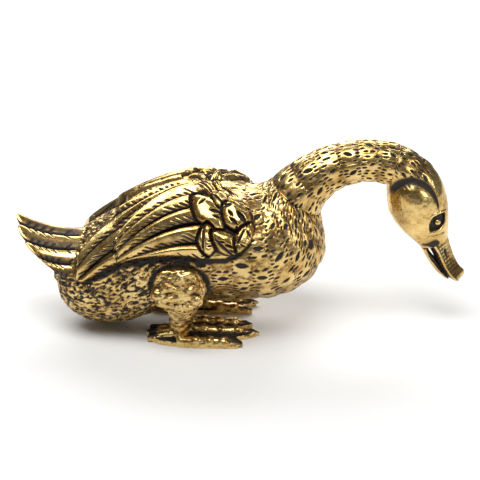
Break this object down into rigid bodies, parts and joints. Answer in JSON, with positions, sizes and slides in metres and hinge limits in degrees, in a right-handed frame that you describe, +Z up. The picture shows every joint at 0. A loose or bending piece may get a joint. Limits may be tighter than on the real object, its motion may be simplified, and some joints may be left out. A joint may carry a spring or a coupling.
{
  "type": "animal figurine",
  "caption": "Small solid brass duck figurine with a bowed arched neck, folded wings, upturned tail and webbed feet to stand on.",
  "frame": {"origin": "centre of the bounding box in plan, on the surface that the soles stand on", "axes": "+X from tail to bill, +Y to the duck's left, +Z up"},
  "size_m": [0.0599, 0.0228, 0.0257],
  "materials": {
    "brass_smooth": "polished satin with faint casting grain",
    "brass_chased": "chased with leaf-shaped pits, blackened in the recesses",
    "brass_feather": "carved feathers, rubbed bright on the ridges and black in the grooves",
    "brass_dark": "rough stippled casting, mostly blackened"
  },
  "bodies": {
    "root": {"body": "brass_dark", "neck": "brass_chased", "head": "brass_smooth", "upper_bill": "brass_smooth", "lower_bill": "brass_smooth", "right_eye": "brass_smooth", "left_eye": "brass_smooth", "right_wing": "brass_feather", "left_wing": "brass_feather", "tail": "brass_feather", "right_leg": "brass_dark", "left_leg": "brass_dark", "right_foot": "brass_dark", "left_foot": "brass_dark"}
  },
  "joints": []
}
